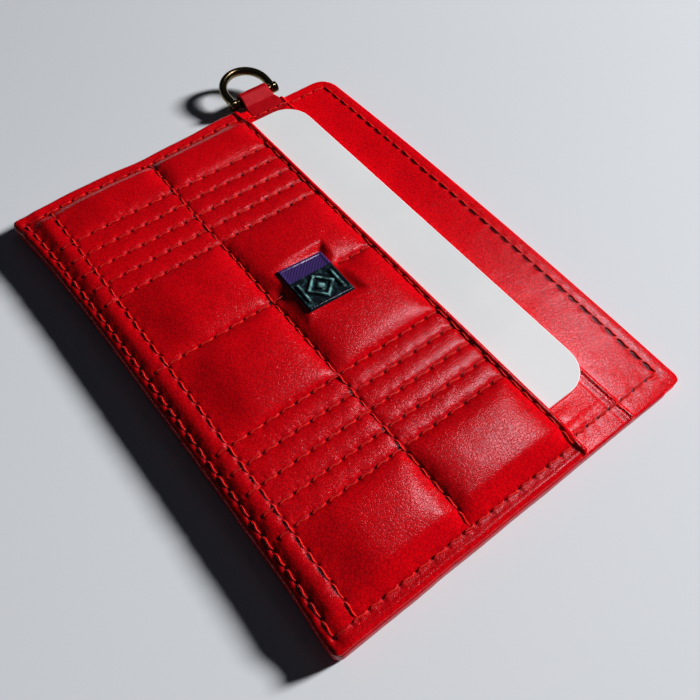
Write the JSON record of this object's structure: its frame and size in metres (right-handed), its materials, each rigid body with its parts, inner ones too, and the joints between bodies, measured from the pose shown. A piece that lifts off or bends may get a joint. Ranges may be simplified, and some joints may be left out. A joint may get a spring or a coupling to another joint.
{
  "type": "card holder",
  "caption": "Flat quilted leather card holder with an open centre pocket, card slots, a sliding blank card, a small plain emblem and a D-ring that swings on a side tab.",
  "frame": {"origin": "under the middle of the leather body, on the plane that the rear slot panel rests on", "axes": "+X along the long side, away from the ring; +Y towards the mouth; +Z out of the quilted front"},
  "size_m": [0.1121, 0.0733, 0.007],
  "materials": {
    "red_leather": "fine pebbled grain, soft gloss",
    "red_lining": "fine ribbed lining",
    "red_thread": "twisted, slightly waxed",
    "wadding": "soft",
    "white_card": "satin",
    "gold_metal": "polished, pale gold plating",
    "dark_metal": "polished dark"
  },
  "bodies": {
    "holder": {"rear_slot_panel": "red_leather", "rear_slot_thread": "red_thread", "back_panel": "red_leather", "back_lining": "red_lining", "front_lining": "red_lining", "front_panel": "red_leather", "body_seam_left": "red_leather", "body_seam_right": "red_leather", "body_seam_bottom": "red_leather", "mouth_thread": "red_thread", "slot_panel": "red_leather", "slot_thread": "red_thread", "pocket_seam_left": "red_leather", "pocket_seam_right": "red_leather", "pocket_seam_bottom": "red_leather", "pocket_lining": "red_lining", "pocket_padding": "wadding", "pocket_hem": "red_leather", "pocket_shell": "red_leather", "pocket_border_thread": "red_thread", "quilting_thread": "red_thread", "emblem_plate": "dark_metal", "emblem_motif": "dark_metal", "emblem_backplate": "dark_metal", "ring_tab": "red_leather", "tab_thread": "red_thread"},
    "card": {"blank_card": "white_card"},
    "ring": {"d_ring": "gold_metal"}
  },
  "joints": [
    {"name": "card_slide", "type": "slide", "parent": "holder", "child": "card", "axis": [0, 1, 0], "range_m": [-0.0028, 0.066]},
    {"name": "ring_swing", "type": "hinge", "parent": "holder", "child": "ring", "pos_m": [-0.0537, 0.01975, 0.00235], "axis": [0, 1, 0], "range_deg": [-139, 141]}
  ]
}
